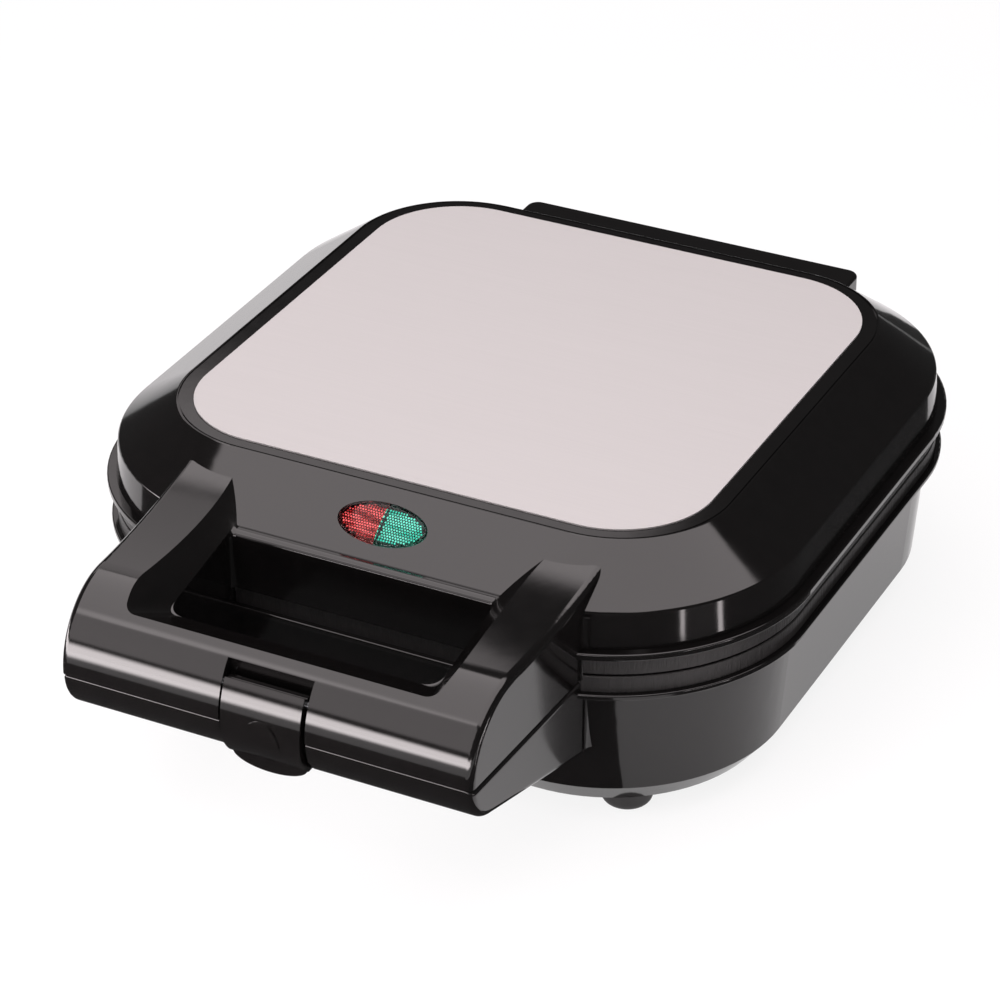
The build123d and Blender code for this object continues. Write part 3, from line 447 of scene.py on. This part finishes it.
def dimple_tree(material):
    """Geometry nodes that lay staggered dimples on half an oval sheet."""
    tree = bpy.data.node_groups.new("dimpled_half_oval", "GeometryNodeTree")
    names = ("Half Length", "Half Width", "Pitch", "Radius", "Side")
    for name in names:
        tree.interface.new_socket(name, in_out="INPUT", socket_type="NodeSocketFloat")
    tree.interface.new_socket("Geometry", in_out="OUTPUT", socket_type="NodeSocketGeometry")
    start = add_node(tree, "NodeGroupInput")
    half_length, half_width, pitch, radius, side = (start.outputs[name] for name in names)

    # Staggered rows of points over the whole oval
    row_step = add_node(tree, "ShaderNodeMath", {"operation": "MULTIPLY"}, {0: pitch, 1: math.sqrt(3) / 2})
    length = add_node(tree, "ShaderNodeMath", {"operation": "MULTIPLY"}, {0: half_length, 1: 2.0})
    width = add_node(tree, "ShaderNodeMath", {"operation": "MULTIPLY"}, {0: half_width, 1: 2.0})
    columns = add_node(tree, "ShaderNodeMath", {"operation": "DIVIDE"}, {0: length.outputs[0], 1: pitch})
    rows = add_node(tree, "ShaderNodeMath", {"operation": "DIVIDE"}, {
        0: width.outputs[0], 1: row_step.outputs[0]})
    grid = add_node(tree, "GeometryNodeMeshGrid", inputs={
        "Size X": length.outputs[0], "Size Y": width.outputs[0],
        "Vertices X": columns.outputs[0], "Vertices Y": rows.outputs[0]})
    place = add_node(tree, "GeometryNodeInputPosition")
    along = add_node(tree, "ShaderNodeSeparateXYZ", inputs={0: place.outputs[0]})
    row = add_node(tree, "ShaderNodeMath", {"operation": "DIVIDE"}, {
        0: along.outputs[1], 1: row_step.outputs[0]})
    row_number = add_node(tree, "ShaderNodeMath", {"operation": "ROUND"}, {0: row.outputs[0]})
    odd = add_node(tree, "ShaderNodeMath", {"operation": "PINGPONG"}, {0: row_number.outputs[0], 1: 1.0})
    step = add_node(tree, "ShaderNodeMath", {"operation": "MULTIPLY"}, {0: odd.outputs[0], 1: pitch})
    half_step = add_node(tree, "ShaderNodeMath", {"operation": "MULTIPLY"}, {0: step.outputs[0], 1: 0.5})
    shift = add_node(tree, "ShaderNodeCombineXYZ", inputs={0: half_step.outputs[0]})
    staggered = add_node(tree, "GeometryNodeSetPosition", inputs={
        "Geometry": grid.outputs["Mesh"], "Offset": shift.outputs[0]})

    # Only the points inside this half of the oval stay
    across = add_node(tree, "ShaderNodeMath", {"operation": "DIVIDE"}, {0: along.outputs[0], 1: half_length})
    up = add_node(tree, "ShaderNodeMath", {"operation": "DIVIDE"}, {0: along.outputs[1], 1: half_width})
    spot = add_node(tree, "ShaderNodeCombineXYZ", inputs={0: across.outputs[0], 1: up.outputs[0]})
    reach = add_node(tree, "ShaderNodeVectorMath", {"operation": "LENGTH"}, {0: spot.outputs[0]})
    outside = add_node(tree, "ShaderNodeMath", {"operation": "GREATER_THAN"}, {
        0: reach.outputs["Value"], 1: 1.0})
    sided = add_node(tree, "ShaderNodeMath", {"operation": "MULTIPLY"}, {0: along.outputs[0], 1: side})
    other = add_node(tree, "ShaderNodeMath", {"operation": "LESS_THAN"}, {0: sided.outputs[0], 1: pitch})
    drop = add_node(tree, "ShaderNodeMath", {"operation": "MAXIMUM"}, {
        0: outside.outputs[0], 1: other.outputs[0]})
    kept = add_node(tree, "GeometryNodeDeleteGeometry", {"domain": "POINT"}, {
        "Geometry": staggered.outputs[0], "Selection": drop.outputs[0]})

    # A low dome on each point
    dome = add_node(tree, "GeometryNodeMeshIcoSphere", inputs={"Radius": radius, "Subdivisions": 2})
    dimples = add_node(tree, "GeometryNodeInstanceOnPoints", inputs={
        "Points": kept.outputs[0], "Instance": dome.outputs["Mesh"], "Scale": (1.0, 1.0, 0.6)})
    real = add_node(tree, "GeometryNodeRealizeInstances", inputs={0: dimples.outputs[0]})
    painted = add_node(tree, "GeometryNodeSetMaterial", inputs={
        "Geometry": real.outputs[0], "Material": material})
    add_node(tree, "NodeGroupOutput", inputs={0: painted.outputs[0]})
    return tree


def dimple_field(name, side, material, sizes):
    """Dimples behind one half of the window, as a plain mesh on the lid."""
    low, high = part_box("indicator_lens_red")
    values = {
        # The pointed end of the oval has a border twice as wide as its sides
        "Half Length": (high.x - low.x) - 2 * sizes.dimple_margin,
        "Half Width": sizes.window_width / 2 - sizes.dimple_margin,
        "Pitch": sizes.dimple_pitch,
        "Radius": sizes.dimple_radius,
        "Side": side,
    }
    maker = bpy.data.objects.new(name + "_maker", bpy.data.meshes.new(name + "_maker"))
    bpy.context.scene.collection.objects.link(maker)
    modifier = maker.modifiers.new("dimples", "NODES")
    modifier.node_group = dimple_tree(material)
    for item in modifier.node_group.interface.items_tree:
        if item.in_out == "INPUT":
            modifier[item.identifier] = float(values[item.name])
    evaluated = maker.evaluated_get(bpy.context.evaluated_depsgraph_get())
    mesh = bpy.data.meshes.new_from_object(evaluated)
    maker.modifiers.remove(modifier)
    bpy.data.objects.remove(maker)
    mesh.transform(window_place(sizes) @ Matrix.Translation((0, 0, -sizes.dimple_depth)))
    # The sheet's own material takes the place of the empty slot that the maker leaves
    mesh.materials.clear()
    mesh.materials.append(material)
    mesh.name = name
    field = bpy.data.objects.new(name, mesh)
    bpy.context.scene.collection.objects.link(field)
    return field


# Studio

def seen_rays(tree, camera_share, mirrored_share):
    """One share for rays from the camera, another for mirrored or passed rays, 0 for the rest."""
    path = add_node(tree, "ShaderNodeLightPath")
    mirrored = add_node(tree, "ShaderNodeMath", {"operation": "MAXIMUM"}, {
        0: path.outputs["Is Glossy Ray"], 1: path.outputs["Is Transmission Ray"]})
    seen = add_node(tree, "ShaderNodeMath", {"operation": "MULTIPLY"}, {
        0: mirrored.outputs[0], 1: mirrored_share})
    return add_node(tree, "ShaderNodeMath", {"operation": "MULTIPLY_ADD"}, {
        0: path.outputs["Is Camera Ray"], 1: camera_share, 2: seen.outputs[0]}).outputs[0]


def floor_material(colour):
    # Studio floor: plain white that still takes a faint soft shadow
    material, tree = new_material("studio_floor_white")
    paint = add_node(tree, "ShaderNodeBsdfDiffuse", inputs={"Color": rgba(colour)})
    glow = add_node(tree, "ShaderNodeEmission", inputs={"Color": WHITE, "Strength": 1.0})
    mix = add_node(tree, "ShaderNodeMixShader", inputs={
        0: seen_rays(tree, camera_share=0.85, mirrored_share=0.6), 1: paint.outputs[0], 2: glow.outputs[0]})
    add_node(tree, "ShaderNodeOutputMaterial", inputs={"Surface": mix.outputs[0]})
    return material


def flag_material():
    # Black velvet flags: hardly any light comes back from them. On the two cards on the floor this black is
    # painted shadow
    material, tree = new_material("black_flag_and_painted_shadow")
    cloth = add_node(tree, "ShaderNodeEmission", inputs={"Color": WHITE, "Strength": 0.06})
    add_node(tree, "ShaderNodeOutputMaterial", inputs={"Surface": cloth.outputs[0]})
    return material


def mesh_object(name, vertices, faces, material):
    """Plain mesh with one material, in the scene."""
    mesh = bpy.data.meshes.new(name)
    mesh.from_pydata(vertices, [], faces)
    mesh.materials.append(material)
    piece = bpy.data.objects.new(name, mesh)
    bpy.context.scene.collection.objects.link(piece)
    return piece


def flag(name, vertices, faces, material):
    """Dark piece of the studio that only mirrored rays see."""
    card = mesh_object(name, vertices, faces, material)
    card.visible_camera = False
    card.visible_diffuse = False
    card.visible_transmission = False
    card.visible_shadow = False


def lay_floor(colour):
    """Wide pale floor under the object."""
    corners = [(x * FLOOR_HALF, y * FLOOR_HALF, 0) for x, y in ((-1, -1), (1, -1), (1, 1), (-1, 1))]
    mesh_object("floor", corners, [(0, 1, 2, 3)], floor_material(colour))


def hang_dark_dome(flag_and_shadow_black):
    """Dark flags all round and above."""
    vertices = []
    for level in range(DOME_LEVELS + 1):
        rise = math.pi / 2 * level / DOME_LEVELS
        radius = DOME_RADIUS * math.cos(rise)
        for side in range(DOME_SIDES):
            turn = 2 * math.pi * side / DOME_SIDES
            vertices.append((radius * math.cos(turn), radius * math.sin(turn), DOME_RADIUS * math.sin(rise)))
    faces = []
    for lower in range(0, DOME_LEVELS * DOME_SIDES, DOME_SIDES):
        upper = lower + DOME_SIDES
        for side in range(DOME_SIDES):
            following = (side + 1) % DOME_SIDES
            faces.append((lower + side, lower + following, upper + following, upper + side))
    flag("dark_dome", vertices, faces, flag_and_shadow_black)


def lay_painted_shadow_cards(under_plate, under_grip, flag_and_shadow_black):
    """Dark cards on the floor, before the base and to the right of it: painted shadow where the floor lies in
    the object's shade, seen only in mirrored rays.
    """
    front_end = under_grip.y - FRONT_CARD_DEPTH
    back_end = under_plate.y - FRONT_CARD_BACK
    front_shadow_card = [(FRONT_CARD_LEFT, front_end), (CARD_SEAM, front_end), (FRONT_CARD_BACK_END, back_end),
                  (FRONT_CARD_LEFT, back_end)]
    right_shadow_card = [*RIGHT_CARD_EDGE, (CARD_SEAM, front_end), (CARD_REACH, front_end), (CARD_REACH, CARD_REACH)]
    for name, corners in (("front_shadow_card", front_shadow_card), ("right_shadow_card", right_shadow_card)):
        flag(name, [(x, y, CARD_HEIGHT) for x, y in corners], [tuple(range(len(corners)))], flag_and_shadow_black)


def soft_edge(tree, place, feather):
    """1 in the middle of a light, falling smoothly to 0 at its two edges."""
    inset = add_node(tree, "ShaderNodeMath", {"operation": "PINGPONG"}, {0: place, 1: 0.5})
    return add_node(tree, "ShaderNodeMapRange", {"interpolation_type": "SMOOTHSTEP"}, {
        "Value": inset.outputs[0], "From Max": feather}).outputs[0]


def area_light(name, place, aim, size, brightness, feather):
    """Soft-edged rectangular light that the camera doesn't see, as bright as a surface of that brightness.

    It faces the point given as its aim. Returns its turn.
    """
    lamp = bpy.data.lights.new(name, "AREA")
    lamp.shape = "RECTANGLE"
    lamp.size, lamp.size_y = size
    lamp.energy = math.pi * brightness * size[0] * size[1]
    lamp.color = bpy.context.scene.waffle_stage.light
    lamp.use_nodes = True
    tree = lamp.node_tree
    tree.nodes.clear()
    spot = add_node(tree, "ShaderNodeNewGeometry")
    across = add_node(tree, "ShaderNodeSeparateXYZ", inputs={0: spot.outputs["Parametric"]})
    glow = add_node(tree, "ShaderNodeMath", {"operation": "MULTIPLY"}, {
        0: soft_edge(tree, across.outputs[0], feather), 1: soft_edge(tree, across.outputs[1], feather)})
    emission = add_node(tree, "ShaderNodeEmission", inputs={"Strength": glow.outputs[0]})
    add_node(tree, "ShaderNodeOutputLight", inputs={0: emission.outputs[0]})
    holder = bpy.data.objects.new(name, lamp)
    holder.location = place
    holder.rotation_euler = (aim - place).to_track_quat("-Z", "Y").to_euler()
    holder.visible_camera = False
    bpy.context.scene.collection.objects.link(holder)
    return holder.rotation_euler


def set_softboxes(stage, under_plate):
    """Two large level lights above, one over the object and one behind it to the left."""
    boxes = (
        ("overhead_softbox", OVERHEAD_SHIFT, OVERHEAD_SIZE, stage.overhead, OVERHEAD_FEATHER),
        ("back_softbox", BACK_SHIFT, BACK_SIZE, stage.back, BACK_FEATHER),
    )
    for name, shift, size, brightness, feather in boxes:
        place = under_plate + Vector(shift)
        area_light(name, place, Vector((place.x, place.y, 0)), size, brightness, feather)


def set_front_lights(stage, under_grip):
    """A tall panel and a low strip before the grip."""
    lights = (
        ("front_panel", PANEL_SHIFT, PANEL_SIZE, stage.panel, PANEL_FEATHER),
        ("front_strip", STRIP_SHIFT, STRIP_SIZE, stage.front, STRIP_FEATHER),
    )
    for name, shift, size, brightness, feather in lights:
        area_light(name, under_grip + Vector(shift), under_grip + Vector(GRIP_AIM), size, brightness, feather)


def set_corner_light(stage, under_plate, flag_and_shadow_black):
    """Small light by the right front corner, with a dark card before it that leaves only its frame bright."""
    place = under_plate + Vector(CORNER_SHIFT)
    turn = area_light("corner_window", place, under_plate + Vector(CORNER_AIM), CORNER_SIZE, stage.side,
                      CORNER_FEATHER)
    corners = [place + turn.to_matrix() @ Vector((x, y, -CORNER_CARD_GAP)) for x, y in CORNER_CARD]
    flag("corner_card", corners, [(0, 1, 2, 3)], flag_and_shadow_black)


def set_world(scene, fill):
    """White surroundings for the camera and for mirrored rays, and a faint light on all else."""
    world = bpy.data.worlds.new("studio")
    world.use_nodes = True
    tree = world.node_tree
    tree.nodes.clear()
    level = add_node(tree, "ShaderNodeMapRange", inputs={
        "Value": seen_rays(tree, camera_share=1.0, mirrored_share=1.0), "To Min": fill, "To Max": 1.0})
    sky = add_node(tree, "ShaderNodeBackground", inputs={"Color": WHITE, "Strength": level.outputs[0]})
    add_node(tree, "ShaderNodeOutputWorld", inputs={"Surface": sky.outputs[0]})
    scene.world = world


def set_camera(scene, stage, middle):
    """Camera that looks at the middle of the steel plate from the front right."""
    turn = Matrix.Rotation(stage.azimuth, 4, "Z") @ Matrix.Rotation(math.pi / 2 - stage.elevation, 4, "X")
    turn = turn @ Matrix.Rotation(stage.roll, 4, "Z")
    shift = Vector((stage.aim_right, stage.aim_up, stage.distance))
    camera = bpy.data.cameras.new("camera")
    camera.lens = stage.lens
    camera.sensor_width = 36
    camera.clip_start = 0.05
    holder = bpy.data.objects.new("camera", camera)
    holder.matrix_world = Matrix.Translation(middle + turn.to_3x3() @ shift) @ turn
    scene.collection.objects.link(holder)
    scene.camera = holder


# Operators

class WAFFLE_OT_mouldings(bpy.types.Operator):
    """Finish the shells, the grip and the latch."""
    bl_idname = "waffle.mouldings"
    bl_label = "Mouldings"

    def execute(self, context):
        dress(MOULDINGS, polished_abs(context.scene.waffle_colours, context.scene.waffle_sizes))
        return {"FINISHED"}


class WAFFLE_OT_steel_plate(bpy.types.Operator):
    """Finish the brushed plate on the lid."""
    bl_idname = "waffle.steel_plate"
    bl_label = "Steel plate"

    def execute(self, context):
        dress(("top_plate",), brushed_steel(context.scene.waffle_colours, context.scene.waffle_sizes))
        return {"FINISHED"}


class WAFFLE_OT_lamp_window(bpy.types.Operator):
    """Finish the lamp window and lay the dimples behind it."""
    bl_idname = "waffle.lamp_window"
    bl_label = "Lamp window"

    def execute(self, context):
        colours = context.scene.waffle_colours
        sizes = context.scene.waffle_sizes
        # Word, side along X, tint, and how much darker the deep streaks of painted shade are
        halves = (("red", -1, colours.red_window, 0.7), ("green", 1, colours.green_window, 0.25))
        for word, side, colour, depth in halves:
            lens = f"indicator_lens_{word}"
            dress((lens,), tinted_acrylic(f"{word}_clear_acrylic", paled(colour, 0.25)))
            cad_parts[lens].visible_shadow = False
            sheet = dimpled_sheet(f"{word}_dimpled_acrylic", colour, depth)
            field = dimple_field(f"{word}_dimples", side, sheet, sizes)
            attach(field, "lid")
        dress(("indicator_lamps",), lamp_glass())
        return {"FINISHED"}


class WAFFLE_OT_cooking_plates(bpy.types.Operator):
    """Finish the two cooking plates."""
    bl_idname = "waffle.cooking_plates"
    bl_label = "Cooking plates"

    def execute(self, context):
        dress(COOKING_PLATES, non_stick(context.scene.waffle_colours, context.scene.waffle_sizes))
        return {"FINISHED"}


class WAFFLE_OT_heating(bpy.types.Operator):
    """Finish the heaters and the heat shields."""
    bl_idname = "waffle.heating"
    bl_label = "Heaters and shields"

    def execute(self, context):
        dress(HEATERS, heater_tube())
        dress(SHIELDS, mill_aluminium())
        return {"FINISHED"}


class WAFFLE_OT_small_pieces(bpy.types.Operator):
    """Finish the screws, pins, electrical pieces, feet and gland."""
    bl_idname = "waffle.small_pieces"
    bl_label = "Small pieces"

    def execute(self, context):
        dress(PLATED_STEEL, plated_steel())
        dress(DARK_MOULDINGS, phenolic())
        dress(("terminal_block",), polyamide())
        dress(RUBBER_PIECES, soft_rubber())
        return {"FINISHED"}


class WAFFLE_OT_stage(bpy.types.Operator):
    """Set up the floor, the lights and the camera."""
    bl_idname = "waffle.stage"
    bl_label = "Stage"

    def execute(self, context):
        scene = context.scene
        stage = scene.waffle_stage
        plate_low, plate_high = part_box("top_plate")
        middle = Vector(((plate_low.x + plate_high.x) / 2, (plate_low.y + plate_high.y) / 2, plate_high.z))
        grip_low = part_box("upper_handle")[0]
        # Points on the floor under the middle of the steel plate and under the front of the grip
        under_plate = Vector((middle.x, middle.y, 0))
        under_grip = Vector((middle.x, grip_low.y, 0))

        lay_floor(scene.waffle_colours.floor)
        flag_and_shadow_black = flag_material()
        hang_dark_dome(flag_and_shadow_black)
        # Painted shadow on the floor, seen only in mirrored rays
        lay_painted_shadow_cards(under_plate, under_grip, flag_and_shadow_black)
        set_softboxes(stage, under_plate)
        set_front_lights(stage, under_grip)
        set_corner_light(stage, under_plate, flag_and_shadow_black)
        set_world(scene, stage.fill)
        set_camera(scene, stage, middle)
        scene.view_settings.view_transform = "Standard"
        return {"FINISHED"}


class WAFFLE_PT_panel(bpy.types.Panel):
    """Steps of the waffle maker's finish."""
    bl_label = "Waffle maker"
    bl_idname = "WAFFLE_PT_panel"
    bl_space_type = "VIEW_3D"
    bl_region_type = "UI"
    bl_category = "Waffle maker"

    def draw(self, context):
        for operator in OPERATORS:
            self.layout.operator(operator.bl_idname)


OPERATORS = (WAFFLE_OT_mouldings, WAFFLE_OT_steel_plate, WAFFLE_OT_lamp_window, WAFFLE_OT_cooking_plates,
             WAFFLE_OT_heating, WAFFLE_OT_small_pieces, WAFFLE_OT_stage)
CLASSES = (WaffleColours, WaffleSizes, WaffleStage, *OPERATORS, WAFFLE_PT_panel)


def register():
    for item in CLASSES:
        bpy.utils.register_class(item)
    bpy.types.Scene.waffle_colours = bpy.props.PointerProperty(type=WaffleColours)
    bpy.types.Scene.waffle_sizes = bpy.props.PointerProperty(type=WaffleSizes)
    bpy.types.Scene.waffle_stage = bpy.props.PointerProperty(type=WaffleStage)


def unregister():
    del bpy.types.Scene.waffle_stage
    del bpy.types.Scene.waffle_sizes
    del bpy.types.Scene.waffle_colours
    for item in reversed(CLASSES):
        bpy.utils.unregister_class(item)


def main():
    register()
    bpy.ops.waffle.mouldings()
    bpy.ops.waffle.steel_plate()
    bpy.ops.waffle.lamp_window()
    bpy.ops.waffle.cooking_plates()
    bpy.ops.waffle.heating()
    bpy.ops.waffle.small_pieces()
    bpy.ops.waffle.stage()


if __name__ == "__main__":
    main()
